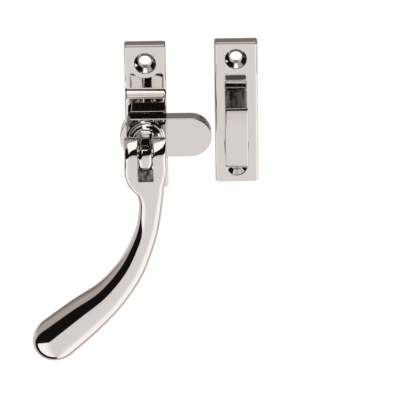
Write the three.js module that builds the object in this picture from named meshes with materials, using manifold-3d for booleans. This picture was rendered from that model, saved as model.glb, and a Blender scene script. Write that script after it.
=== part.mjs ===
// Reversible casement window fastener with its hook plate, in the closed position.
// Millimetres, +Z up along the plates, fronts facing -Y. The origin is where the spindle's axis
// meets the back of the base plate.
import * as THREE from "three";
import { mergeVertices } from "three/addons/utils/BufferGeometryUtils.js";
import Module from "manifold-3d";

const wasm = await Module();
wasm.setup();

// Base plate: a thin flange at each end and a thick block between them for the spindle.
const PLATE_WIDTH = 16.2;
const PLATE_TOP = 34.3;
const PLATE_BOTTOM = -26.7;
const FLANGE_THICKNESS = 5;
const BLOCK_THICKNESS = 10;
const BLOCK_TOP = 14.3;
const BLOCK_BOTTOM = -12.7;
const STEP_FILLET = 2.2;
const EDGE_ROUND = 0.5;
const PLATE_SCREWS = [26.7, -19.6];

// Wood-screw holes, the same in both plates.
const SCREW_RADIUS = 2.5;
const SINK_RADIUS = 4.3;

// Spindle: a square through the tongue, a round journal in the block and a threaded end.
const SQUARE = 6;
const JOURNAL_RADIUS = 3.6;
const THREAD_RADIUS = 2.5;
const FIT = 0.15;
const POCKET_RADIUS = 6.2;
const POCKET_DEPTH = 6;
const ROUND_SEGMENTS = 48;

// The stack in front of the block, measured forward from the back of the plate.
const WASHER_THICKNESS = 0.4;
const STACK_GAP = 0.05;
const TONGUE_BACK = BLOCK_THICKNESS + WASHER_THICKNESS + 2 * STACK_GAP;
const TONGUE_THICKNESS = 5.9;
const TONGUE_FRONT = TONGUE_BACK + TONGUE_THICKNESS;
const HUB_RADIUS = 10.1;
const TONGUE_HEIGHT = 16.2;
const TONGUE_REACH = 25.5;
const COLLAR_RADIUS = 7.5;
const COLLAR_BACK = TONGUE_FRONT + STACK_GAP;
const COLLAR_THICKNESS = 3;
const COLLAR_FRONT = COLLAR_BACK + COLLAR_THICKNESS;

// Lug and the cross pin that the handle folds on.
const LUG_WIDTH = 5;
const LUG_TOP = 4;
const LUG_END_RADIUS = 7;
const LUG_ROOT_BELOW = 5.9;
const PIN_FORWARD = 30.6;
const PIN_RADIUS = 2;

// Handle: a fork on the pin, a neck and a bulb.
const FORK_WIDTH = 16.2;
const FORK_HALF_DEPTH = 6.3;
const SLOT_WIDTH = 6.1;
const SLOT_DEPTH = 9.4;
const PIN_LENGTH = 15.6;

// Hook plate, beside the base plate with its back in the same plane.
const KEEP_X = 35.4;
const KEEP_WIDTH = 17;
const KEEP_TOP = 35;
const KEEP_BOTTOM = -24.6;
const KEEP_THICKNESS = 5;
const KEEP_SCREWS = [28.1, -17.6];
const HOOK_ROOT_WIDTH = 9.8;
const HOOK_DRAFT = 0.035;

const chrome = (roughness) =>
  new THREE.MeshStandardMaterial({ color: 0xd8d6d4, metalness: 1, roughness });
const polished = chrome(0.06);
const plain = chrome(0.35);
const brass = new THREE.MeshStandardMaterial({ color: 0xb59a5a, metalness: 1, roughness: 0.4 });

// The manifold-3d solid of a three.js geometry.
function solid(geometry) {
  const bare = geometry.index ? geometry.toNonIndexed() : geometry.clone();
  bare.deleteAttribute("normal");
  bare.deleteAttribute("uv");
  const merged = mergeVertices(bare, 1e-4);
  const mesh = new wasm.Mesh({
    numProp: 3,
    vertProperties: new Float32Array(merged.attributes.position.array),
    triVerts: new Uint32Array(merged.index.array),
  });
  return new wasm.Manifold(mesh);
}

// A named three.js mesh of a manifold-3d solid.
function named(name, shape, material) {
  const data = shape.getMesh();
  const geometry = new THREE.BufferGeometry();
  const positions = new THREE.BufferAttribute(new Float32Array(data.vertProperties), 3);
  geometry.setAttribute("position", positions);
  geometry.setIndex(new THREE.BufferAttribute(new Uint32Array(data.triVerts), 1));
  geometry.computeVertexNormals();
  const mesh = new THREE.Mesh(geometry, material);
  mesh.name = name;
  return mesh;
}

// Extrudes a side outline, drawn as (forward, z), along X, with its two side edges rounded.
function sideExtrusion(outline, width, round) {
  const geometry = new THREE.ExtrudeGeometry(outline, {
    depth: width - 2 * round,
    curveSegments: 12,
    bevelEnabled: round > 0,
    bevelThickness: round,
    bevelSize: round,
    bevelOffset: -round,
    bevelSegments: 2,
  });
  geometry.translate(0, 0, -width / 2 + round);
  const toSide = new THREE.Matrix4().makeBasis(
    new THREE.Vector3(0, -1, 0),
    new THREE.Vector3(0, 0, 1),
    new THREE.Vector3(-1, 0, 0),
  );
  return solid(geometry.applyMatrix4(toSide));
}

// Extrudes a front outline, drawn as (x, z), from one distance in front of the back plane to another.
function frontExtrusion(outline, from, to, round) {
  const geometry = new THREE.ExtrudeGeometry(outline, {
    depth: to - from - 2 * round,
    curveSegments: 24,
    bevelEnabled: round > 0,
    bevelThickness: round,
    bevelSize: round,
    bevelOffset: -round,
    bevelSegments: 3,
  });
  geometry.rotateX(Math.PI / 2);
  geometry.translate(0, -from - round, 0);
  return solid(geometry);
}

// Turns a profile of (radius, forward) pairs about the spindle's axis.
function turned(profile, segments = ROUND_SEGMENTS) {
  const points = profile.map(([radius, forward]) => new THREE.Vector2(radius, forward));
  return solid(new THREE.LatheGeometry(points, segments).rotateX(Math.PI));
}

// A washer or bush: a ring about the spindle's axis.
function ring(inner, outer, from, to) {
  const profile = [
    [inner, from],
    [outer, from],
    [outer, to],
    [inner, to],
    [inner, from],
  ];
  return turned(profile);
}

// A bar of square section along the spindle's axis.
function squareBar(size, from, to) {
  const box = new THREE.BoxGeometry(size, to - from, size);
  return solid(box.translate(0, -(from + to) / 2, 0));
}

// A round bar along X through the pin's axis.
function crossBar(radius, length) {
  const bar = new THREE.CylinderGeometry(radius, radius, length, ROUND_SEGMENTS);
  return solid(bar.rotateZ(Math.PI / 2).translate(0, -PIN_FORWARD, 0));
}

// What a countersunk hole takes out of a plate of the given thickness.
function screwHole(x, z, thickness) {
  const over = 0.5;
  const sinkDepth = SINK_RADIUS - SCREW_RADIUS;
  const profile = [
    [0, -over],
    [SCREW_RADIUS, -over],
    [SCREW_RADIUS, thickness - sinkDepth],
    [SINK_RADIUS + over, thickness + over],
    [0, thickness + over],
  ];
  return turned(profile, 40).translate([x, 0, z]);
}

// Base plate in one casting: its side outline is extruded across, then drilled.
function basePlate() {
  const outline = new THREE.Shape();
  outline.moveTo(0, PLATE_BOTTOM);
  outline.lineTo(FLANGE_THICKNESS, PLATE_BOTTOM);
  outline.absarc(FLANGE_THICKNESS + STEP_FILLET, BLOCK_BOTTOM - STEP_FILLET, STEP_FILLET,
    Math.PI, Math.PI / 2, true);
  outline.lineTo(BLOCK_THICKNESS, BLOCK_BOTTOM);
  outline.lineTo(BLOCK_THICKNESS, BLOCK_TOP);
  outline.absarc(FLANGE_THICKNESS + STEP_FILLET, BLOCK_TOP + STEP_FILLET, STEP_FILLET,
    -Math.PI / 2, -Math.PI, true);
  outline.lineTo(FLANGE_THICKNESS, PLATE_TOP);
  outline.lineTo(0, PLATE_TOP);
  outline.closePath();
  let plate = sideExtrusion(outline, PLATE_WIDTH, EDGE_ROUND);
  for (const z of PLATE_SCREWS) plate = plate.subtract(screwHole(0, z, FLANGE_THICKNESS));
  const bore = turned([
    [0, -1],
    [POCKET_RADIUS, -1],
    [POCKET_RADIUS, POCKET_DEPTH],
    [JOURNAL_RADIUS + FIT, POCKET_DEPTH],
    [JOURNAL_RADIUS + FIT, BLOCK_THICKNESS + 1],
    [0, BLOCK_THICKNESS + 1],
  ]);
  return plate.subtract(bore);
}

// Tongue: a flat bar, round at both ends, with a square hole for the spindle.
function tongue() {
  const half = TONGUE_HEIGHT / 2;
  const shoulder = Math.asin(half / HUB_RADIUS);
  const outline = new THREE.Shape();
  outline.absarc(0, 0, HUB_RADIUS, Math.PI - shoulder, Math.PI + shoulder, false);
  outline.absarc(TONGUE_REACH - half, 0, half, -Math.PI / 2, Math.PI / 2, false);
  outline.closePath();
  const blank = frontExtrusion(outline, TONGUE_BACK, TONGUE_FRONT, EDGE_ROUND);
  return blank.subtract(squareBar(SQUARE + 2 * FIT, TONGUE_BACK - 1, TONGUE_FRONT + 1));
}

// Collar: a turned disc with a step and a rounded shoulder, keyed on the square.
function collar() {
  const step = COLLAR_BACK + 1.3;
  const shoulder = 6.3;
  const blank = turned([
    [0, COLLAR_BACK],
    [COLLAR_RADIUS, COLLAR_BACK],
    [COLLAR_RADIUS, step - 0.3],
    [COLLAR_RADIUS - 0.3, step],
    [shoulder, step],
    [shoulder, step + 0.7],
    [shoulder - 0.5, COLLAR_FRONT - 0.3],
    [shoulder - 1.2, COLLAR_FRONT],
    [0, COLLAR_FRONT],
  ]);
  return blank.subtract(squareBar(SQUARE + 2 * FIT, COLLAR_BACK - 1, COLLAR_FRONT + 1));
}

// The lug's side outline: a flat top, a round end about the pin and a flared root on the collar.
function lugOutline() {
  const root = COLLAR_FRONT + STACK_GAP;
  const flare = 2;
  const topEdge = Math.asin(LUG_TOP / LUG_END_RADIUS);
  const outline = new THREE.Shape();
  outline.moveTo(root, 0);
  outline.lineTo(root, -LUG_ROOT_BELOW);
  outline.absarc(PIN_FORWARD, 0, LUG_END_RADIUS, -Math.PI / 2, topEdge, false);
  outline.absarc(root + flare, LUG_TOP + flare, flare, -Math.PI / 2, -Math.PI, true);
  outline.closePath();
  return outline;
}

// Hinge spindle: the lug, a shoulder on the collar, the square, the journal and the threaded end.
function hingeSpindle() {
  const root = COLLAR_FRONT + STACK_GAP;
  const lug = sideExtrusion(lugOutline(), LUG_WIDTH, 0);
  const square = squareBar(SQUARE, TONGUE_BACK - 0.04, root + 0.5);
  const shaft = turned([
    [0, 1.2],
    [THREAD_RADIUS - 0.4, 1.2],
    [THREAD_RADIUS, 1.6],
    [THREAD_RADIUS, POCKET_DEPTH + STACK_GAP],
    [JOURNAL_RADIUS, POCKET_DEPTH + STACK_GAP],
    [JOURNAL_RADIUS, TONGUE_BACK - 0.01],
    [0, TONGUE_BACK - 0.01],
  ]);
  return lug.add(square).add(shaft).subtract(crossBar(PIN_RADIUS + FIT, LUG_WIDTH + 2));
}

// Nut of hexagonal section on the threaded end.
function lockNut(from, to) {
  const acrossFlats = 8;
  const corner = acrossFlats / 2 / Math.cos(Math.PI / 6);
  const hexagon = new THREE.CylinderGeometry(corner, corner, to - from, 6);
  const blank = solid(hexagon.translate(0, -(from + to) / 2, 0));
  const bore = ring(0, THREAD_RADIUS + FIT, from - 1, to + 1);
  return blank.subtract(bore);
}

// Coned spring washer: its rim bears on the flat washer and its centre on the nut.
function springWasher(from, to) {
  const sheet = 0.5;
  const inner = THREAD_RADIUS + FIT;
  const outer = 5;
  return turned([
    [inner, from],
    [outer, to - sheet],
    [outer, to],
    [inner, from + sheet],
    [inner, from],
  ]);
}

// The handle's centreline in front view from the fork to the bulb's tip, with the section there:
// x, z, half width, half depth, and how square the section is (2 is an ellipse).
const HANDLE_STATIONS = [
  { x: 0, z: 0, wide: 8.1, deep: 6.3, square: 9 },
  { x: 0, z: -7.2, wide: 8.1, deep: 6.3, square: 9 },
  { x: 0.6, z: -11, wide: 7.1, deep: 6.0, square: 6.5 },
  { x: 1.5, z: -15.2, wide: 5.5, deep: 5.6, square: 4.4 },
  { x: 1.7, z: -19.8, wide: 4.7, deep: 5.1, square: 3.3 },
  { x: 1.2, z: -25.6, wide: 4.4, deep: 4.8, square: 2.8 },
  { x: 0.2, z: -31.6, wide: 4.4, deep: 4.7, square: 2.5 },
  { x: -2.2, z: -39.2, wide: 4.7, deep: 4.8, square: 2.4 },
  { x: -6.9, z: -49.6, wide: 5.5, deep: 5.2, square: 2.3 },
  { x: -15.4, z: -61.1, wide: 6.6, deep: 6.0, square: 2.3 },
  { x: -25.6, z: -70.3, wide: 8.2, deep: 6.7, square: 2.2 },
  { x: -36.6, z: -79.7, wide: 9.0, deep: 7.0, square: 2.1 },
];
const BULB_CAP = 10.6;

// A point between stations: the curve's own interpolation for the line, and the same for sizes.
function handleStation(t) {
  const value = (key) => {
    const flat = HANDLE_STATIONS.map((s, i) => new THREE.Vector3(i, s[key], 0));
    return new THREE.CatmullRomCurve3(flat, false, "centripetal").getPoint(t).y;
  };
  return { wide: value("wide"), deep: value("deep"), square: value("square") };
}

// One ring of the handle's skin: a squared ellipse about a centre, leaning along the curve.
function handleRing(centre, across, size, count) {
  const points = [];
  for (let i = 0; i < count; i++) {
    const angle = (2 * Math.PI * i) / count;
    const c = Math.cos(angle);
    const s = Math.sin(angle);
    const power = 2 / size.square;
    const out = Math.sign(c) * Math.abs(c) ** power * size.wide;
    const forward = Math.sign(s) * Math.abs(s) ** power * size.deep;
    points.push([centre.x + across.x * out, centre.y - forward, centre.z + across.z * out]);
  }
  return points;
}

// The rings from the pin's height down to the bulb, then the rings of its round cap.
function handleRings(count) {
  const along = HANDLE_STATIONS.map((s) => new THREE.Vector3(s.x, -PIN_FORWARD, s.z));
  const line = new THREE.CatmullRomCurve3(along, false, "centripetal");
  const steps = 44;
  const rings = [];
  const acrossAt = (t) => {
    const tangent = line.getTangent(t);
    return new THREE.Vector3(-tangent.z, 0, tangent.x);
  };
  for (let i = 0; i <= steps; i++) {
    const t = i / steps;
    rings.push(handleRing(line.getPoint(t), acrossAt(t), handleStation(t), count));
  }
  const end = handleStation(1);
  const tangent = line.getTangent(1);
  const capSteps = 9;
  for (let i = 1; i < capSteps; i++) {
    const angle = (Math.PI / 2) * (i / capSteps);
    const centre = line.getPoint(1).addScaledVector(tangent, BULB_CAP * Math.sin(angle));
    const size = { ...end, wide: end.wide * Math.cos(angle), deep: end.deep * Math.cos(angle) };
    rings.push(handleRing(centre, acrossAt(1), size, count));
  }
  const tip = line.getPoint(1).addScaledVector(tangent, BULB_CAP);
  return { rings, tip };
}

// Closes the rings into one skin, as a cylinder's side and its two ends.
function handleShank() {
  const count = 40;
  const { rings, tip } = handleRings(count);
  const positions = rings.flat(2);
  const last = rings.length - 1;
  const top = positions.length / 3;
  positions.push(0, -PIN_FORWARD, 0, tip.x, tip.y, tip.z);
  const faces = [];
  for (let r = 0; r < last; r++) {
    for (let i = 0; i < count; i++) {
      const a = r * count + i;
      const b = r * count + ((i + 1) % count);
      faces.push(a, b, a + count, b, b + count, a + count);
    }
  }
  for (let i = 0; i < count; i++) {
    const next = (i + 1) % count;
    faces.push(top, next, i);
    faces.push(last * count + next, top + 1, last * count + i);
  }
  const skin = new THREE.BufferGeometry();
  skin.setAttribute("position", new THREE.Float32BufferAttribute(positions, 3));
  skin.setIndex(faces);
  return solid(skin);
}

// Handle: the shank, a round nose about the pin, less the slot for the lug and the pin's hole.
function handle() {
  const nose = new THREE.Shape();
  nose.absarc(PIN_FORWARD, 0, FORK_HALF_DEPTH, 0, 2 * Math.PI, false);
  const head = sideExtrusion(nose, FORK_WIDTH, EDGE_ROUND);
  const slotTop = FORK_HALF_DEPTH + 1;
  const slot = new THREE.BoxGeometry(SLOT_WIDTH, 4 * FORK_HALF_DEPTH, slotTop + SLOT_DEPTH);
  slot.translate(0, -PIN_FORWARD, (slotTop - SLOT_DEPTH) / 2);
  const hole = crossBar(PIN_RADIUS + FIT, FORK_WIDTH + 2);
  return handleShank().add(head).subtract(solid(slot)).subtract(hole);
}

// The hook's side outline, as (forward, z): a solid foot, a bulging front and a mouth open at the top.
function hookOutline() {
  const face = KEEP_THICKNESS - 0.5;
  const foot = -13.2;
  const floor = -9;
  const inner = KEEP_THICKNESS + 11.5;
  const corner = 3.5;
  const outline = new THREE.Shape();
  outline.moveTo(face, foot);
  outline.lineTo(KEEP_THICKNESS + 11, foot);
  outline.quadraticCurveTo(KEEP_THICKNESS + 12, foot + 0.2, KEEP_THICKNESS + 12.4, foot + 1.2);
  outline.bezierCurveTo(
    KEEP_THICKNESS + 15.2, -6.5,
    KEEP_THICKNESS + 16, 4,
    KEEP_THICKNESS + 14.2, 12.5,
  );
  outline.quadraticCurveTo(KEEP_THICKNESS + 13.9, 13.1, KEEP_THICKNESS + 13.4, 13.1);
  outline.lineTo(KEEP_THICKNESS + 12.6, 13.1);
  outline.lineTo(inner, 10.4);
  outline.absarc(inner - corner, floor + corner, corner, 0, -Math.PI / 2, true);
  outline.absarc(KEEP_THICKNESS + corner, floor + corner, corner, -Math.PI / 2, -Math.PI, true);
  outline.lineTo(face, floor + corner);
  outline.closePath();
  return outline;
}

// Narrows the hook evenly from its root to its front, as a casting's draft does.
function drafted(shape) {
  return shape.warp((point) => {
    const proud = -point[1] - KEEP_THICKNESS;
    point[0] *= 1 - (2 * HOOK_DRAFT * Math.max(proud, 0)) / HOOK_ROOT_WIDTH;
  });
}

// Hook plate in one casting: a flat plate with two screw holes and the hook on its front.
function hookPlate() {
  const half = KEEP_WIDTH / 2;
  const outline = new THREE.Shape();
  outline.moveTo(-half, KEEP_BOTTOM);
  outline.lineTo(half, KEEP_BOTTOM);
  outline.lineTo(half, KEEP_TOP);
  outline.lineTo(-half, KEEP_TOP);
  outline.closePath();
  let plate = frontExtrusion(outline, 0, KEEP_THICKNESS, EDGE_ROUND);
  plate = plate.add(drafted(sideExtrusion(hookOutline(), HOOK_ROOT_WIDTH, 0)));
  for (const z of KEEP_SCREWS) plate = plate.subtract(screwHole(0, z, KEEP_THICKNESS));
  return plate.translate([KEEP_X, 0, 0]);
}

const group = new THREE.Group();
const washerBack = BLOCK_THICKNESS + STACK_GAP;
const flatWasherFront = POCKET_DEPTH - STACK_GAP;
const flatWasherBack = flatWasherFront - 0.8;
const springBack = flatWasherBack - 1;
group.add(
  named("base_plate", basePlate(), polished),
  named("hook_plate", hookPlate(), polished),
  named("thrust_washer",
    ring(JOURNAL_RADIUS + FIT, 7, washerBack, washerBack + WASHER_THICKNESS), brass),
  named("tongue", tongue(), polished),
  named("collar", collar(), polished),
  named("hinge_spindle", hingeSpindle(), polished),
  named("cross_pin", crossBar(PIN_RADIUS, PIN_LENGTH), plain),
  named("handle", handle(), polished),
  named("rear_washer",
    ring(THREAD_RADIUS + FIT, 5.4, flatWasherBack, flatWasherFront), plain),
  named("spring_washer", springWasher(springBack, flatWasherBack - STACK_GAP), plain),
  named("lock_nut", lockNut(springBack - 2.75, springBack - STACK_GAP), plain),
);

export default group;
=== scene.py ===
"""Visual model of a reversible casement window fastener and its hook plate, in polished chrome."""
import math

import bmesh
import bpy
import numpy as np
from mathutils import Matrix, Vector


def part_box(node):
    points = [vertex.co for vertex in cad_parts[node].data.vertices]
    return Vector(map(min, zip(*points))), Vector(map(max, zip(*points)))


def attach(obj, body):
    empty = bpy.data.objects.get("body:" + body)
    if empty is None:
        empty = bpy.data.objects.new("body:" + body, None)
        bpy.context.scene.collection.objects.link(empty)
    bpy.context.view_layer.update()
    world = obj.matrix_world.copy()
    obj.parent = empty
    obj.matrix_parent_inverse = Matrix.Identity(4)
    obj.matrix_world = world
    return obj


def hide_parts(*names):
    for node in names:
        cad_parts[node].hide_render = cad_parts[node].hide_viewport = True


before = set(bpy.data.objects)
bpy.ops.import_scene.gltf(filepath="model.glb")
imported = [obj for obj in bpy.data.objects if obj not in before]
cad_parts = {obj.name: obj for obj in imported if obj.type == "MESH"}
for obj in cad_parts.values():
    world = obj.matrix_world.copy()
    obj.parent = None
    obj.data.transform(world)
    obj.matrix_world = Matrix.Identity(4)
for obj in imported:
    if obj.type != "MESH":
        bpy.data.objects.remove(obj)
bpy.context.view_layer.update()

MM = 0.001

# ---------------------------------------------------------------- shader maths


class Wire:
    """One shader socket, so that an expression on wires adds its Math nodes."""

    def __init__(self, tree, socket):
        self.tree = tree
        self.socket = socket

    def maths(self, operation, *values):
        return self.tree.add("ShaderNodeMath", {"operation": operation}, dict(enumerate(values)))

    def __add__(self, other):
        return self.maths("ADD", self, other)

    def __sub__(self, other):
        return self.maths("SUBTRACT", self, other)

    def __rsub__(self, other):
        return self.maths("SUBTRACT", other, self)

    def __mul__(self, other):
        return self.maths("MULTIPLY", self, other)

    def __lt__(self, other):
        return self.maths("LESS_THAN", self, other)

    def __gt__(self, other):
        return self.maths("GREATER_THAN", self, other)

    def __abs__(self):
        return self.maths("ABSOLUTE", self)

    def largest(self, other):
        return self.maths("MAXIMUM", self, other)

    def smallest(self, other):
        return self.maths("MINIMUM", self, other)

    def step(self, low, high):
        """0 below low, 1 above high, and a smooth rise between; low may be the larger."""
        settings = {"interpolation_type": "SMOOTHSTEP"}
        names = {"Value": self, "From Min": low, "From Max": high}
        return self.tree.add("ShaderNodeMapRange", settings, names)


class Tree:
    """A node tree and the one method that adds nodes to it."""

    def __init__(self, owner):
        owner.use_nodes = True
        self.tree = owner.node_tree
        self.tree.nodes.clear()

    def add(self, kind, settings=None, inputs=None, output=0):
        node = self.tree.nodes.new(kind)
        for name, value in (settings or {}).items():
            setattr(node, name, value)
        for name, value in (inputs or {}).items():
            socket = node.inputs[name]
            if isinstance(value, Wire):
                self.tree.links.new(value.socket, socket)
            else:
                socket.default_value = value
        outputs = node.outputs
        return Wire(self, outputs[output]) if len(outputs) else None

    def parts(self, vector):
        """The X, Y and Z wires of a vector wire."""
        split = self.tree.nodes.new("ShaderNodeSeparateXYZ")
        self.tree.links.new(vector.socket, split.inputs[0])
        return [Wire(self, socket) for socket in split.outputs]

    def mix(self, amount, first, second):
        """The colour first where amount is 0 and second where it is 1."""
        inputs = {0: amount, 6: first, 7: second}
        return self.add("ShaderNodeMix", {"data_type": "RGBA"}, inputs, output=2)


# ---------------------------------------------------------------- finishes

CHROME = (0.66, 0.63, 0.605, 1)
CAST_CHROME = (0.64, 0.60, 0.58, 1)
STEEL = (0.52, 0.52, 0.51, 1)
BRASS = (0.72, 0.56, 0.27, 1)


def metal(name, colour, worn_colour, polish, grain, cast_and_shade_at=None, crown=None, drawn="Z"):
    """A metal whose polish wanders a little, with fine scratches and cloudy patches.

    cast_and_shade_at(x, y, z) gives a wire that is 1 where the surface was left as cast, rougher,
    and painted with near-black blotches of shade, with its streaks drawn out along one axis,
    and crown(x, y, z) gives a height in metres that only shades the surface and moves none of it.
    """
    material = bpy.data.materials.new(name)
    tree = Tree(material)
    place = tree.add("ShaderNodeTexCoord", output=3)
    cloud = tree.add("ShaderNodeTexNoise", None, {"Vector": place, "Scale": 55.0, "Detail": 3.0})
    fibre = {"Vector": place, "Scale": (2600.0, 2600.0, 90.0)}
    stretch = tree.add("ShaderNodeMapping", None, fibre)
    hair = tree.add("ShaderNodeTexNoise", None, {"Vector": stretch, "Scale": 1.0, "Detail": 2.0})
    tint = tree.mix(cloud.step(0.55, 0.8) * 0.35, colour, worn_colour)
    roughness = cloud * (0.5 * polish) + polish * 0.75 + hair.step(0.62, 0.8) * (0.6 * polish)
    relief = hair * 0.06 + cloud * 0.2
    if cast_and_shade_at:
        cast_and_shade = cast_and_shade_at(*tree.parts(place))
        grit = {"Vector": place, "Scale": 900.0, "Detail": 4.0}
        speck = tree.add("ShaderNodeTexNoise", None, grit)
        scale = [110.0 if axis == drawn else 620.0 for axis in "XYZ"]
        drag = tree.add("ShaderNodeMapping", None, {"Vector": place, "Scale": scale})
        streak = tree.add("ShaderNodeTexNoise", None, {"Vector": drag, "Scale": 1.0, "Detail": 3.0})
        # Painted shade: near-black streaky blotches in the colour where the surface was left as
        # cast, darkening the hollows of the hook's mouth and the slot, and faintly the plates'
        # backs.
        shade_blotch = (streak * 0.75 + speck * 0.25).step(0.38, 0.6)
        tint = tree.mix(cast_and_shade, tint, tree.mix(shade_blotch, (0.07, 0.06, 0.06, 1), CAST_CHROME))
        roughness = roughness + cast_and_shade * 0.24
        relief = relief + (streak + speck) * cast_and_shade * 8.0
    bump = {"Height": relief, "Strength": grain, "Distance": 0.00004}
    if crown:
        height = crown(*tree.parts(place))
        bump["Normal"] = tree.add("ShaderNodeBump", None, {"Height": height, "Distance": 1.0})
    normal = tree.add("ShaderNodeBump", None, bump)
    inputs = {"Base Color": tint, "Metallic": 1.0, "Roughness": roughness, "Normal": normal}
    shader = tree.add("ShaderNodeBsdfPrincipled", None, inputs)
    tree.add("ShaderNodeOutputMaterial", None, {"Surface": shader})
    return material


# ---------------------------------------------------------------- mesh helpers


def new_piece(name, bm, material):
    """An object at the origin made from a bmesh, smooth shaded, in one material."""
    bmesh.ops.recalc_face_normals(bm, faces=bm.faces)
    mesh = bpy.data.meshes.new(name)
    for face in bm.faces:
        face.smooth = True
    bm.to_mesh(mesh)
    bm.free()
    piece = bpy.data.objects.new(name, mesh)
    bpy.context.scene.collection.objects.link(piece)
    mesh.materials.append(material)
    return piece


def settle(piece):
    """Applies a piece's modifiers, so that only its mesh is left."""
    graph = bpy.context.evaluated_depsgraph_get()
    settled = bpy.data.meshes.new_from_object(piece.evaluated_get(graph))
    piece.modifiers.clear()
    piece.data = settled


def combine(piece, other, operation):
    """Changes a piece by another solid, which is then gone."""
    modifier = piece.modifiers.new("combine", "BOOLEAN")
    modifier.operation = operation
    modifier.solver = "EXACT"
    modifier.object = other
    settle(piece)
    bpy.data.objects.remove(other)


def cut(piece, *cutters):
    """Takes the cutters' solids out of a piece."""
    for cutter in cutters:
        combine(piece, cutter, "DIFFERENCE")


def round_edges(piece, radius_at, widest, sharp=25, segments=4, clamp=True):
    """Rounds each edge sharper than the angle to radius_at(its middle), then evens the normals."""
    bm = bmesh.new()
    bm.from_mesh(piece.data)
    bmesh.ops.remove_doubles(bm, verts=bm.verts, dist=1e-7)
    bmesh.ops.dissolve_degenerate(bm, edges=bm.edges, dist=1e-6)
    weight = bm.edges.layers.float.get("bevel_weight_edge")
    weight = weight or bm.edges.layers.float.new("bevel_weight_edge")
    for edge in bm.edges:
        angle = math.degrees(edge.calc_face_angle(0.0))
        middle = (edge.verts[0].co + edge.verts[1].co) / 2
        edge[weight] = radius_at(middle) / widest if angle > sharp else 0.0
    for face in bm.faces:
        face.smooth = True
    bm.to_mesh(piece.data)
    bm.free()
    bevel = piece.modifiers.new("rounded edges", "BEVEL")
    bevel.width = widest
    bevel.segments = segments
    bevel.limit_method = "WEIGHT"
    bevel.use_clamp_overlap = clamp
    even = piece.modifiers.new("even normals", "WEIGHTED_NORMAL")
    even.weight = 100
    settle(piece)


def arc(centre, radius, start, end, count=16):
    """Points on an arc, from one angle to another in degrees."""
    angles = np.radians(np.linspace(start, end, count + 1))
    return [(centre[0] + radius * math.cos(a), centre[1] + radius * math.sin(a)) for a in angles]


def square_outline(half):
    """The corners of a square round the spindle's axis."""
    return [(-half, -half), (half, -half), (half, half), (-half, half)]


def prism(outline, place):
    """A solid between two copies of an outline; place(u, v, end) puts a point at end 0 or 1."""
    bm = bmesh.new()
    ends = [[bm.verts.new(place(u, v, end)) for u, v in outline] for end in (0, 1)]
    bm.faces.new(ends[0])
    bm.faces.new(reversed(ends[1]))
    count = len(outline)
    for i in range(count):
        j = (i + 1) % count
        bm.faces.new((ends[0][i], ends[0][j], ends[1][j], ends[1][i]))
    bmesh.ops.recalc_face_normals(bm, faces=bm.faces)
    return bm


def across(outline, left, right):
    """A side outline of (y, z) points made solid from x = left to x = right."""
    return prism(outline, lambda y, z, end: (right if end else left, y, z))


def forward(outline, back, front):
    """A front outline of (x, z) points made solid from y = back to y = front."""
    return prism(outline, lambda x, z, end: (x, front if end else back, z))


def turned(profile, x=0.0, z=0.0, count=128):
    """A profile of (radius, y) points turned about the line along Y through x, z."""
    bm = bmesh.new()
    rings = []
    for radius, y in profile:
        if radius < 1e-9:
            rings.append([bm.verts.new((x, y, z))])
            continue
        circle = [2 * math.pi * i / count for i in range(count)]
        rings.append([bm.verts.new((x + radius * math.cos(a), y, z + radius * math.sin(a)))
                      for a in circle])
    for low, high in zip(rings, rings[1:] + rings[:1]):
        if len(low) == 1 and len(high) == 1:
            continue
        for i in range(count):
            j = (i + 1) % count
            corners = (low[i % len(low)], low[j % len(low)],
                       high[j % len(high)], high[i % len(high)])
            bm.faces.new(list(dict.fromkeys(corners)))
    bmesh.ops.recalc_face_normals(bm, faces=bm.faces)
    return bm


def finish_piece(piece, body, slot, *nodes):
    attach(piece, body)
    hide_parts(*nodes)
    return piece


# ---------------------------------------------------------------- sizes taken from the frame

plate_low, plate_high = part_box("base_plate")
keep_low, keep_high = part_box("hook_plate")
tongue_low, tongue_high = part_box("tongue")
collar_low, collar_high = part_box("collar")
pin_low, pin_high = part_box("cross_pin")
spindle_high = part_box("hinge_spindle")[1]
PIN = (pin_low + pin_high) / 2
KEEP_X = (keep_low.x + keep_high.x) / 2

FLANGE = 5 * MM
SCREW_RADIUS = 2.5 * MM
SINK_RADIUS = 4.3 * MM
PLATE_HOLES = (26.7 * MM, -19.6 * MM)
KEEP_HOLES = (28.1 * MM, -17.6 * MM)
BLOCK_TOP = 14.3 * MM
BLOCK_BOTTOM = -12.7 * MM
FILLET = 2.2 * MM
JOURNAL_RADIUS = 3.6 * MM
POCKET_RADIUS = 6.2 * MM
POCKET_DEPTH = 6 * MM
LUG_RADIUS = 7 * MM
PIN_HOLE_RADIUS = 2.1 * MM
THREAD_PITCH = 0.8 * MM
THREAD_ROOT = 2.1 * MM
THREAD_VEE = 0.4 * MM

# ---------------------------------------------------------------- the plates


def screw_hole(x, z):
    """The cutter for a countersunk screw hole through a flange."""
    over = 0.5 * MM
    profile = [
        (0, over),
        (SCREW_RADIUS, over),
        (SCREW_RADIUS, -FLANGE + (SINK_RADIUS - SCREW_RADIUS)),
        (SINK_RADIUS + over, -FLANGE - over),
        (0, -FLANGE - over),
    ]
    return new_piece("screw_hole", turned(profile, x, z, 72), None)


def near_hole(point, x, heights):
    """Whether a point is on the rim or wall of one of the screw holes."""
    reach = SINK_RADIUS + 0.1 * MM
    return any(math.hypot(point.x - x, point.z - z) < reach for z in heights)


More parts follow.
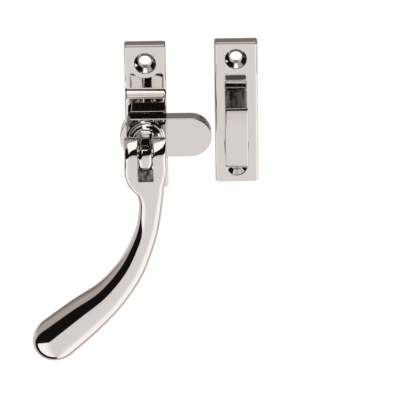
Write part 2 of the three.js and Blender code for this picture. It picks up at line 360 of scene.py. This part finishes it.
def make_base_plate(material):
    block = plate_low.y
    outline = [(0, plate_low.z), (-FLANGE, plate_low.z)]
    outline += arc((-FLANGE - FILLET, BLOCK_BOTTOM - FILLET), FILLET, 0, 90)
    outline += [(block, BLOCK_BOTTOM), (block, BLOCK_TOP)]
    outline += arc((-FLANGE - FILLET, BLOCK_TOP + FILLET), FILLET, -90, 0)
    outline += [(-FLANGE, plate_high.z), (0, plate_high.z)]
    piece = new_piece("base_plate_casting", across(outline, plate_low.x, plate_high.x), material)

    def edge_radius(point):
        if point.y > -0.1 * MM:
            return 0.4 * MM
        if point.y < block + 0.1 * MM and abs(point.x) < 7.9 * MM:
            return 0.25 * MM
        proud = (-point.y - FLANGE) / (-block - FLANGE)
        return (0.8 + 0.4 * min(max(proud, 0), 1)) * MM

    round_edges(piece, edge_radius, 1.2 * MM, clamp=False)
    cut(piece, *[screw_hole(0, z) for z in PLATE_HOLES])
    bore = [(0, MM), (POCKET_RADIUS, MM), (POCKET_RADIUS, -POCKET_DEPTH),
            (JOURNAL_RADIUS + 0.15 * MM, -POCKET_DEPTH), (JOURNAL_RADIUS + 0.15 * MM, block - MM),
            (0, block - MM)]
    cut(piece, new_piece("spindle_bore", turned(bore, count=96), None))

    def rim_radius(point):
        if near_hole(point, 0, PLATE_HOLES) and point.y < -0.5 * MM:
            return 0.22 * MM
        return 0.2 * MM if math.hypot(point.x, point.z) < POCKET_RADIUS + 0.1 * MM else 0.0

    round_edges(piece, rim_radius, 0.22 * MM)
    return finish_piece(piece, "plates", "plates_chrome", "base_plate")


def hook_outline():
    """The hook's side outline as (y, z): foot, bulging front, rounded lip and open-topped mouth."""
    face = -FLANGE
    foot = -13.2 * MM
    floor = -9 * MM
    inner = face - 11.5 * MM
    corner = 3.5 * MM
    front = [(face - p * MM, z * MM) for p, z in bezier(
        (12.4, -12.0), (15.2, -6.5), (16.0, 4.0), (14.2, 12.5), 24)]
    outline = [(face + MM, foot), (face - 11.3 * MM, foot)]
    outline += front
    outline += [(face - 13.85 * MM, 13.1 * MM), (face - 13.3 * MM, 13.1 * MM)]
    outline += [(face - p * MM, z * MM) for p, z in bezier(
        (13.1, 13.05), (12.4, 12.9), (11.8, 12.0), (11.5, 9.8), 8)]
    outline += arc((inner + corner, floor + corner), corner, 180, 270, 10)
    outline += arc((face - corner, floor + corner), corner, -90, 0, 10)
    outline += [(face + MM, floor + corner)]
    return outline


def bezier(first, pull, push, last, count):
    """Points on a cubic curve."""
    points = []
    for t in np.linspace(0, 1, count + 1):
        weights = ((1 - t) ** 3, 3 * t * (1 - t) ** 2, 3 * t * t * (1 - t), t ** 3)
        corners = (first, pull, push, last)
        points.append(tuple(sum(w * c[i] for w, c in zip(weights, corners)) for i in (0, 1)))
    return points


def make_hook_plate(material):
    back, front = 0.0, -FLANGE
    outline = [(keep_low.x, keep_low.z), (keep_high.x, keep_low.z),
               (keep_high.x, keep_high.z), (keep_low.x, keep_high.z)]
    piece = new_piece("hook_plate_casting", forward(outline, back, front), material)

    def slab_radius(point):
        if point.y > -0.1 * MM:
            return 0.4 * MM
        return 0.7 * MM if abs(point.x - KEEP_X) < 8 * MM else 1.1 * MM

    round_edges(piece, slab_radius, 1.1 * MM)
    half_width = 4.9 * MM
    hook = across(hook_outline(), -half_width, half_width)
    for vert in hook.verts:
        proud = max(-vert.co.y - FLANGE, 0)
        vert.co.x *= 1 - 0.035 * proud / half_width
        vert.co.x += KEEP_X
    hook = new_piece("hook", hook, material)

    def edge_radius(point):
        if point.y > -FLANGE:
            return 0.0
        return 0.12 * MM if point.z > 12.4 * MM and abs(point.x - KEEP_X) < 4.2 * MM else 0.5 * MM

    round_edges(hook, edge_radius, 0.5 * MM)
    combine(piece, hook, "UNION")
    cut(piece, *[screw_hole(KEEP_X, z) for z in KEEP_HOLES])

    def rim_radius(point):
        if near_hole(point, KEEP_X, KEEP_HOLES) and point.y > -FLANGE - 0.2 * MM:
            return 0.22 * MM if point.y < -0.5 * MM else 0.0
        return 0.25 * MM if abs(point.y + FLANGE) < 0.1 * MM else 0.0

    round_edges(piece, rim_radius, 0.25 * MM)
    return finish_piece(piece, "plates", "plates_chrome", "hook_plate")


# ---------------------------------------------------------------- the tongue and spindle


def make_tongue(material):
    half = 8.1 * MM
    hub = 10.1 * MM
    reach = tongue_high.x
    shoulder = math.degrees(math.asin(half / hub))
    outline = arc((0, 0), hub, 180 - shoulder, 180 + shoulder, 64)
    outline += arc((reach - half, 0), half, -90, 90, 64)
    piece = new_piece("tongue_casting", forward(outline, tongue_high.y, tongue_low.y), material)
    hole = square_outline(3.15 * MM)
    through = forward(hole, tongue_high.y + MM, tongue_low.y - MM)
    cut(piece, new_piece("square_hole", through, None))
    round_edges(piece, lambda point: 0.55 * MM, 0.55 * MM)
    return finish_piece(piece, "spindle", "tongue_chrome", "tongue")


def make_collar(material):
    back, front = collar_high.y, collar_low.y
    rim = 7.5 * MM
    bore = 3.4 * MM
    soft = 0.2 * MM
    depths = [(6.95, 0.45), (6.75, 0.75), (6.35, 0.85), (6.2, 1.2), (5.9, 1.55), (5.2, 2.0),
              (4.9, 2.45), (4.55, 2.8)]
    profile = [(bore, back), (rim - soft, back)]
    profile += arc((rim - soft, back - soft), soft, 90, 0, 4)
    profile += [(radius * MM, back - depth * MM) for radius, depth in depths]
    profile += [(bore + 0.5 * MM, front), (bore, front)]
    piece = new_piece("collar_turning", turned(profile), material)
    round_edges(piece, lambda point: 0.1 * MM, 0.1 * MM, sharp=12, segments=3)
    return finish_piece(piece, "spindle", "tongue_chrome", "collar")


def lug_outline(inset):
    """The lug's side outline as (y, z), drawn in by the inset except at its root."""
    root = collar_low.y - 0.05 * MM
    radius = LUG_RADIUS - inset
    top = 4 * MM - inset
    flare = 1.1 * MM + inset * 0.6
    top_edge = math.degrees(math.asin(top / radius))
    outline = [(root, -5.9 * MM + inset)]
    outline += [(PIN.y - u, v) for u, v in arc((0, 0), radius, -90, top_edge, 48)]
    corner = (root - flare, top + flare)
    outline += [(corner[0] - u, corner[1] + v) for u, v in arc((0, 0), flare, -90, -180, 12)]
    return outline


def pin_hole(length):
    """The cutter for the cross pin's hole, along X."""
    hole = bmesh.new()
    turn = Matrix.Translation(PIN) @ Matrix.Rotation(math.pi / 2, 4, "Y")
    bmesh.ops.create_cone(hole, cap_ends=True, segments=72, radius1=PIN_HOLE_RADIUS,
                          radius2=PIN_HOLE_RADIUS, depth=length, matrix=turn)
    return new_piece("pin_hole", hole, None)


def make_lug(material):
    """The lug: a flat top between rounded long edges, a round end and a flared root."""
    half_width = 2.5 * MM
    wide, deep = 1.7 * MM, 0.9 * MM
    layers = []
    for turn in np.radians(np.linspace(0, 90, 13)):
        layers.append((half_width - wide + wide * math.sin(turn), deep * (1 - math.cos(turn))))
    layers = [(-x, inset) for x, inset in reversed(layers)] + layers
    bm = bmesh.new()
    rings = [[bm.verts.new((x, y, z)) for y, z in lug_outline(inset)] for x, inset in layers]
    bm.faces.new(rings[0])
    bm.faces.new(rings[-1])
    for left, right in zip(rings, rings[1:]):
        for i in range(len(left)):
            j = (i + 1) % len(left)
            bm.faces.new((left[i], left[j], right[j], right[i]))
    piece = new_piece("lug_forging", bm, material)
    cut(piece, pin_hole(8 * MM))
    round_edges(piece, lambda point: 0.1 * MM, 0.1 * MM, sharp=50, segments=2)
    return finish_piece(piece, "spindle", "tongue_chrome", "hinge_spindle")


def thread_tree():
    """A node group for one screw thread: a spiral of so many turns swept with a small vee."""
    tree = bpy.data.node_groups.new("screw_thread", "GeometryNodeTree")
    sockets = {}
    for name, value in (("Turns", 5.0), ("Pitch", THREAD_PITCH), ("Root Radius", THREAD_ROOT),
                        ("Vee", THREAD_VEE), ("Material", None)):
        kind = "NodeSocketMaterial" if value is None else "NodeSocketFloat"
        socket = tree.interface.new_socket(name=name, in_out="INPUT", socket_type=kind)
        if value is not None:
            socket.default_value = value
        sockets[name] = socket.identifier
    tree.interface.new_socket(name="Geometry", in_out="OUTPUT", socket_type="NodeSocketGeometry")
    nodes, link = tree.nodes, tree.links.new
    given = nodes.new("NodeGroupInput")
    length = nodes.new("ShaderNodeMath")
    length.operation = "MULTIPLY"
    link(given.outputs["Turns"], length.inputs[0])
    link(given.outputs["Pitch"], length.inputs[1])
    spiral = nodes.new("GeometryNodeCurveSpiral")
    spiral.inputs["Resolution"].default_value = 48
    link(given.outputs["Turns"], spiral.inputs["Rotations"])
    link(given.outputs["Root Radius"], spiral.inputs["Start Radius"])
    link(given.outputs["Root Radius"], spiral.inputs["End Radius"])
    link(length.outputs[0], spiral.inputs["Height"])
    vee = nodes.new("GeometryNodeCurvePrimitiveCircle")
    vee.inputs["Resolution"].default_value = 3
    link(given.outputs["Vee"], vee.inputs["Radius"])
    sweep = nodes.new("GeometryNodeCurveToMesh")
    sweep.inputs["Fill Caps"].default_value = True
    link(spiral.outputs["Curve"], sweep.inputs["Curve"])
    link(vee.outputs["Curve"], sweep.inputs["Profile Curve"])
    realize = nodes.new("GeometryNodeRealizeInstances")
    finish = nodes.new("GeometryNodeSetMaterial")
    link(sweep.outputs["Mesh"], realize.inputs["Geometry"])
    link(realize.outputs["Geometry"], finish.inputs["Geometry"])
    link(given.outputs["Material"], finish.inputs["Material"])
    result = nodes.new("NodeGroupOutput")
    link(finish.outputs["Geometry"], result.inputs["Geometry"])
    return tree, sockets


def make_thread(start, end, material):
    """The ridge of the screw thread on the spindle's end, from start back to end along Y."""
    tree, sockets = thread_tree()
    piece = new_piece("spindle_thread", bmesh.new(), material)
    modifier = piece.modifiers.new("thread", "NODES")
    modifier.node_group = tree
    modifier[sockets["Turns"]] = abs(end - start) / THREAD_PITCH
    modifier[sockets["Pitch"]] = THREAD_PITCH
    modifier[sockets["Root Radius"]] = THREAD_ROOT
    modifier[sockets["Vee"]] = THREAD_VEE
    modifier[sockets["Material"]] = material
    settle(piece)
    low = min(start, end)
    turn = Matrix.Translation((0, low, 0)) @ Matrix.Rotation(-math.pi / 2, 4, "X")
    piece.data.transform(turn)
    bm = bmesh.new()
    bm.from_mesh(piece.data)
    bmesh.ops.recalc_face_normals(bm, faces=bm.faces)
    bm.to_mesh(piece.data)
    bm.free()
    return finish_piece(piece, "spindle", "hidden_steel", "hinge_spindle")


def make_shaft(material):
    """The threaded end, the journal and the square that the tongue and collar sit on."""
    end = spindle_high.y
    root = 2.15 * MM
    shoulder = -6.05 * MM
    profile = [(0, end), (root - 0.4 * MM, end), (root, end - 0.4 * MM), (root, shoulder),
               (JOURNAL_RADIUS - 0.3 * MM, shoulder), (JOURNAL_RADIUS, shoulder - 0.3 * MM),
               (JOURNAL_RADIUS, tongue_high.y), (0, tongue_high.y)]
    piece = new_piece("spindle_shaft", turned(profile, count=96), material)
    finish_piece(piece, "spindle", "hidden_steel", "hinge_spindle")
    make_thread(end - 0.6 * MM, shoulder + 0.4 * MM, material)
    key = forward(square_outline(3 * MM), tongue_high.y - 0.1 * MM, collar_low.y + 0.5 * MM)
    bar = new_piece("spindle_square", key, material)
    round_edges(bar, lambda point: 0.3 * MM, 0.3 * MM)
    return finish_piece(bar, "spindle", "hidden_steel", "hinge_spindle")


def make_pin(material):
    """The cross pin with its ends domed."""
    half = (pin_high.x - pin_low.x) / 2
    radius = (pin_high.z - pin_low.z) / 2
    dome = 0.5 * MM
    side = [(radius * math.cos(a), half - dome + dome * math.sin(a))
            for a in np.radians(np.linspace(0, 90, 9))]
    profile = [(r, -y) for r, y in reversed(side)] + side
    bm = turned(profile, count=72)
    turn = Matrix.Translation(PIN) @ Matrix.Rotation(math.pi / 2, 4, "Z")
    bmesh.ops.transform(bm, matrix=turn, verts=bm.verts)
    piece = new_piece("cross_pin_turning", bm, material)
    return finish_piece(piece, "spindle", "pin_steel", "cross_pin")


def make_ring(node, material, slot, body, dish=0.0):
    """A washer with softened edges, flat or coned by the dish."""
    low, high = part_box(node)
    outer = (high.x - low.x) / 2
    inner = (JOURNAL_RADIUS if node == "thrust_washer" else 2.5 * MM) + 0.15 * MM
    back, front = high.y, low.y
    soft = 0.08 * MM
    profile = [(inner + soft, back), (outer - soft, back - dish), (outer, back - dish - soft),
               (outer, front + soft), (outer - soft, front), (inner + soft, front + dish),
               (inner, front + dish + soft), (inner, back - soft)]
    piece = new_piece(node + "_stamping", turned(profile, count=96), material)
    round_edges(piece, lambda point: 0.04 * MM, 0.04 * MM, segments=2)
    return finish_piece(piece, body, slot, node)


def make_nut(material):
    """The lock nut: a hexagon whose corners are chamfered on both faces."""
    low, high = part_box("lock_nut")
    corner = (high.z - low.z) / 2
    hexagon = [(corner * math.sin(a), corner * math.cos(a))
               for a in np.radians(np.arange(0, 360, 60))]
    piece = new_piece("lock_nut_hexagon", forward(hexagon, high.y, low.y), material)
    middle = (high.y + low.y) / 2
    tall = high.y - middle
    cone = [(0, high.y), (corner - 0.75 * MM, high.y), (corner + 0.1 * MM, middle + tall * 0.6),
            (corner + 0.1 * MM, middle - tall * 0.6), (corner - 0.75 * MM, low.y), (0, low.y)]
    combine(piece, new_piece("nut_chamfer", turned(cone, count=96), None), "INTERSECT")
    hole = 2.6 * MM
    bore = [(0, high.y + MM), (hole, high.y + MM), (hole, low.y - MM), (0, low.y - MM)]
    cut(piece, new_piece("nut_bore", turned(bore, count=72), None))
    round_edges(piece, lambda point: 0.12 * MM, 0.12 * MM, segments=2)
    return finish_piece(piece, "spindle", "hidden_steel", "lock_nut")


# ---------------------------------------------------------------- the handle

# Down the handle from the pin: x and z from the pin, half width, half depth, and how square the
# section is, where 2 is an ellipse. Millimetres.
HANDLE = np.array([
    (0.0, 0.0, 8.1, 6.3, 9.0),
    (0.0, -7.2, 8.1, 6.3, 9.0),
    (0.6, -11.0, 7.1, 6.0, 6.5),
    (1.5, -15.2, 5.5, 5.6, 4.4),
    (1.7, -19.8, 4.7, 5.1, 3.3),
    (1.2, -25.6, 4.4, 4.8, 2.8),
    (0.2, -31.6, 4.4, 4.7, 2.5),
    (-2.2, -39.2, 4.7, 4.8, 2.4),
    (-6.9, -49.6, 5.5, 5.2, 2.3),
    (-15.4, -61.1, 6.6, 6.0, 2.3),
    (-25.6, -70.3, 8.2, 6.7, 2.2),
    (-36.6, -79.7, 9.0, 7.0, 2.1),
])
BULB_CAP = 10.6
SLOT_END = 9.4 * MM


def between(low, high, start, end, t):
    """The line through low at start and high at end, taken at t."""
    return ((end - t) * low + (t - start) * high) / (end - start)


def handle_stations(steps=14):
    """The table above with a smooth curve through it, in the centripetal Catmull-Rom way."""
    table = np.vstack((2 * HANDLE[0] - HANDLE[1], HANDLE, 2 * HANDLE[-1] - HANDLE[-2]))
    stations = []
    for a, b, c, d in zip(table, table[1:], table[2:], table[3:]):
        legs = [math.sqrt(math.hypot(*(q[:2] - p[:2]))) for p, q in ((a, b), (b, c), (c, d))]
        t0, t1, t2, t3 = np.concatenate(([0], np.cumsum(legs)))
        for t in np.linspace(t1, t2, steps, endpoint=False):
            ab = between(a, b, t0, t1, t)
            bc = between(b, c, t1, t2, t)
            cd = between(c, d, t2, t3, t)
            first, second = between(ab, bc, t0, t2, t), between(bc, cd, t1, t3, t)
            stations.append(between(first, second, t1, t2, t))
    stations.append(HANDLE[-1])
    return np.array(stations)


def handle_ring(bm, centre, out, wide, deep, square, count=112):
    """One ring of verts round the handle: a squared ellipse, out giving its wide direction."""
    ring = []
    for i in range(count):
        angle = 2 * math.pi * (i + 0.5) / count
        c, s = math.cos(angle), math.sin(angle)
        u = math.copysign(abs(c) ** (2 / square), c) * wide
        v = math.copysign(abs(s) ** (2 / square), s) * deep
        place = Vector((centre[0] + out[0] * u, -v, centre[1] + out[1] * u))
        ring.append(bm.verts.new(PIN + place * MM))
    return ring


def handle_skin():
    """The nose over the pin, the fork, the neck, the shank and the bulb as one skin of rings."""
    stations = handle_stations()
    bm = bmesh.new()
    rings = []
    wide, deep, square = stations[0][2:]
    for angle in np.radians(np.linspace(88, 4, 22)):
        centre = (0, deep * math.sin(angle))
        rings.append(handle_ring(bm, centre, (1, 0), wide, deep * math.cos(angle), square))
    middle = stations[:, :2]
    tangents = np.gradient(middle, axis=0)
    tangents /= np.linalg.norm(tangents, axis=1)[:, None]
    for (x, z, wide, deep, square), (tx, tz) in zip(stations, tangents):
        rings.append(handle_ring(bm, (x, z), (-tz, tx), wide, deep, square))
    x, z, wide, deep, square = stations[-1]
    tx, tz = tangents[-1]
    for angle in np.radians(np.linspace(4, 88, 24)):
        ahead = BULB_CAP * math.sin(angle)
        shrink = math.cos(angle)
        centre = (x + tx * ahead, z + tz * ahead)
        rings.append(handle_ring(bm, centre, (-tz, tx), wide * shrink, deep * shrink, square))
    for upper, lower in zip(rings, rings[1:]):
        for i in range(len(upper)):
            j = (i + 1) % len(upper)
            bm.faces.new((upper[i], upper[j], lower[j], lower[i]))
    bm.faces.new(rings[0])
    bm.faces.new(rings[-1])
    return bm


def make_handle(material):
    piece = new_piece("handle_casting", handle_skin(), material)
    half = 3.05 * MM
    low, high = PIN.z - SLOT_END, PIN.z + 8 * MM
    corner = 0.6 * MM
    outline = arc((-half + corner, low + corner), corner, 180, 270, 6)
    outline += arc((half - corner, low + corner), corner, 270, 360, 6)
    outline += [(half, high), (-half, high)]
    cut(piece, new_piece("slot", forward(outline, PIN.y + 9 * MM, PIN.y - 9 * MM), None))
    cut(piece, pin_hole(20 * MM))
    round_edges(piece, lambda point: 0.25 * MM, 0.25 * MM, sharp=40, segments=3)
    return finish_piece(piece, "handle", "handle_chrome", "handle")


# ---------------------------------------------------------------- which surfaces were left as cast, and painted shade on them


def band(value, low, high, soft):
    """1 between low and high, 0 outside, with soft edges."""
    return value.step(low - soft, low + soft) * value.step(high + soft, high - soft)


# How strongly the backs show the rough cast marks and painted shade blotches that the inside of the
# hook's mouth shows in full.
BACK_STREAKS_AND_SHADE = 0.25


def plates_cast_and_shade(x, y, z):
    """The backs of both plates, and the inside of the hook's mouth below its lead-in: left as cast
    and painted with dark blotches of shade.
    """
    soft = 0.3 * MM
    backs = y.step(-0.4 * MM, -0.1 * MM) * BACK_STREAKS_AND_SHADE
    mouth = band(x, KEEP_X - 4.4 * MM, KEEP_X + 4.4 * MM, soft / 2)
    mouth = mouth * band(y, -FLANGE - 11.9 * MM, -FLANGE - 1.2 * MM, soft)
    mouth = mouth * band(z, -9.5 * MM, 9.6 * MM, soft)
    return backs.largest(mouth)


def handle_cast_and_shade(x, y, z):
    """The end wall and the lower cheeks of the slot: left as cast and painted with dark blotches of
    shade.
    """
    soft = 0.2 * MM
    slot = band(x, -3.25 * MM, 3.25 * MM, soft)
    slot = slot * band(z, PIN.z - SLOT_END - 0.4 * MM, PIN.z - 4 * MM, soft)
    return slot * band(y, PIN.y - 6.0 * MM, PIN.y + 6.0 * MM, soft)


# How uneven the flat faces are shaded, with no change of shape. BLOCK_LEAN is a slope, steeper
# than buffing leaves, which turns the block's face to the dark of the studio. The other leans and
# the fall are heights, and each crown is a height over a width squared.
BETWEEN_PLATES = 20 * MM
BLOCK_LEAN = 0.10
FLANGE_LEAN = 0.55 * MM
KEEP_LEAN = 0.5 * MM
PLATE_CROWN = 1.7
RIM_FALL = 0.16 * MM
ARM_MIDDLE = 5.6 * MM
ARM_CROWN = 17.0


def plates_crown(x, y, z):
    """Shades the plates' fronts as leaning out at the top and falling away at each hole."""
    keep = x > BETWEEN_PLATES
    across = x - keep * KEEP_X
    fronts = y.step(-FLANGE + 0.3 * MM, -FLANGE)
    block = y < -7.5 * MM
    flange = (1 - block) * (y > -FLANGE - 1 * MM)
    lean = block * z * BLOCK_LEAN + (1 - block) * z.step(16 * MM, 27 * MM) * FLANGE_LEAN
    lean = (1 - keep) * lean + keep * z.step(19 * MM, 27.5 * MM) * KEEP_LEAN
    fall = 0.0
    for height in PLATE_HOLES:
        fall = rim_fall(across, z - height) * (1 - keep) + fall
    for height in KEEP_HOLES:
        fall = rim_fall(across, z - height) * keep + fall
    crown = across * across * (1 - keep) * PLATE_CROWN
    return (lean - fall * flange - crown) * fronts


def rim_fall(across, along):
    """How far down the face is shaded towards a countersunk hole's rim."""
    reach = across.maths("SQRT", across * across + along * along)
    return reach.step(6.2 * MM, SINK_RADIUS) * RIM_FALL


def handle_crown(x, y, z):
    """Shades each arm of the fork a little full across its width, down past the slot's end."""
    side = abs(x) - ARM_MIDDLE
    arms = z.step(PIN.z - 11 * MM, PIN.z - 5 * MM)
    return side * side * arms * -ARM_CROWN


# ---------------------------------------------------------------- studio


def make_camera():
    """A long lens in front and above, rolled a little so that the plates lean."""
    elevation = math.radians(25.4)
    swing = math.radians(-0.3)
    roll = math.radians(0.9)
    distance = 1.15
    target = Vector((20.6, -5.0, -32.4)) * MM
    level = Vector((math.sin(swing), math.cos(swing), 0))
    ahead = level * math.cos(elevation) - Vector((0, 0, math.sin(elevation)))
    right = Vector((math.cos(swing), -math.sin(swing), 0))
    upright = right.cross(ahead)
    up = upright * math.cos(roll) + right * math.sin(roll)
    side = ahead.cross(up)
    data = bpy.data.cameras.new("camera")
    data.lens = 260
    data.sensor_width = 36
    data.clip_end = 20
    camera = bpy.data.objects.new("camera", data)
    turn = Matrix((side, up, -ahead)).transposed().to_4x4()
    camera.matrix_world = Matrix.Translation(target - ahead * distance) @ turn
    bpy.context.scene.collection.objects.link(camera)
    bpy.context.scene.camera = camera


def make_floor():
    """A plain pale floor well below the object."""
    bm = bmesh.new()
    bmesh.ops.create_grid(bm, x_segments=2, y_segments=2, size=6)
    bmesh.ops.translate(bm, vec=(0, 0, plate_low.z - 0.35), verts=bm.verts)
    material = bpy.data.materials.new("pale_floor")
    tree = Tree(material)
    shader = tree.add("ShaderNodeBsdfPrincipled", None, {
        "Base Color": (0.9, 0.9, 0.895, 1), "Roughness": 0.9,
        "Emission Color": (1, 1, 0.995, 1), "Emission Strength": 0.55})
    tree.add("ShaderNodeOutputMaterial", None, {"Surface": shader})
    floor = new_piece("floor", bm, material)
    floor.visible_glossy = False


def make_studio():
    """Soft light by direction, seen in the metal, round a camera that sees plain white itself.

    A wide white sheet lies in front and below, a bright strip above, a pale one below and
    behind, and the rest is taupe, or black where it is dim.
    """
    world = bpy.data.worlds.new("studio")
    bpy.context.scene.world = world
    tree = Tree(world)
    direction = tree.add("ShaderNodeTexCoord", output=0)
    x, y, z = tree.parts(direction)
    front = y * -1.0
    to_degrees = 180 / math.pi
    rise = z.maths("ARCTAN2", z, front) * to_degrees
    swing = x.maths("ARCTAN2", x, front) * to_degrees
    wing = abs(swing)
    dim = (front - z * 0.68).step(0.01, -0.09) * x.step(0.45, 0.25)
    far = tree.mix(y.step(0.35, 0.9), (0.57, 0.52, 0.495, 1), (0.27, 0.235, 0.22, 1))
    colour = tree.mix(dim, (0.010, 0.009, 0.008, 1), far)
    strip = band(rise - x * 100, 45, 111, 1.5) * x.step(-0.35, -0.2) * x.step(0.6, 0.4)
    colour = tree.mix(strip, colour, (1.5, 1.46, 1.42, 1))
    under = z.step(-0.02, -0.06) * front.step(-0.26, -0.29)
    colour = tree.mix(under, colour, (0.80, 0.74, 0.71, 1))
    edge = (x.smallest(0.0) * 0.9).largest(-0.42)
    wide = (front * 0.158 + edge - z).step(-0.03, 0.03)
    beside = x.step(-0.05, 0.05) * front.step(-0.20, -0.17)
    wide = wide * front.step(0.08, 0.12).largest(beside)
    glow = wing.step(14, 48) * 0.42 + rise.step(12, -18) * 0.24 + 0.76
    sheet = tree.add("ShaderNodeVectorMath", {"operation": "SCALE"},
                     {0: (1.0, 0.99, 0.985), "Scale": glow})
    colour = tree.mix(wide, colour, sheet)
    seen = tree.add("ShaderNodeLightPath", output=0)
    colour = tree.mix(seen, colour, (1, 1, 1, 1))
    light = tree.add("ShaderNodeBackground", None, {"Color": colour, "Strength": 1.0})
    tree.add("ShaderNodeOutputWorld", None, {"Surface": light})
    bpy.context.scene.view_settings.view_transform = "Standard"


# ---------------------------------------------------------------- the model

make_camera()
make_studio()
make_floor()

BRIGHT_WORN = (0.61, 0.58, 0.555, 1)
plates_chrome = metal("plates_chrome", CHROME, BRIGHT_WORN, 0.045, 0.12,
                      plates_cast_and_shade, plates_crown)
handle_chrome = metal("handle_chrome", CHROME, BRIGHT_WORN, 0.045, 0.12,
                      handle_cast_and_shade, handle_crown, drawn="Y")
tongue_chrome = metal("tongue_chrome", CHROME, BRIGHT_WORN, 0.045, 0.12)
pin_steel = metal("pin_steel", STEEL, (0.42, 0.42, 0.42, 1), 0.16, 0.3)
zinc_steel = metal("zinc_steel", STEEL, (0.36, 0.36, 0.37, 1), 0.26, 0.5)
washer_brass = metal("washer_brass", BRASS, (0.55, 0.40, 0.17, 1), 0.2, 0.4)

make_base_plate(plates_chrome)
make_hook_plate(plates_chrome)
make_tongue(tongue_chrome)
make_collar(tongue_chrome)
make_lug(tongue_chrome)
make_shaft(zinc_steel)
make_pin(pin_steel)
make_handle(handle_chrome)
make_ring("thrust_washer", washer_brass, "washer_brass", "plates")
make_ring("rear_washer", zinc_steel, "hidden_steel", "spindle")
make_ring("spring_washer", zinc_steel, "hidden_steel", "spindle", dish=0.35 * MM)
make_nut(zinc_steel)
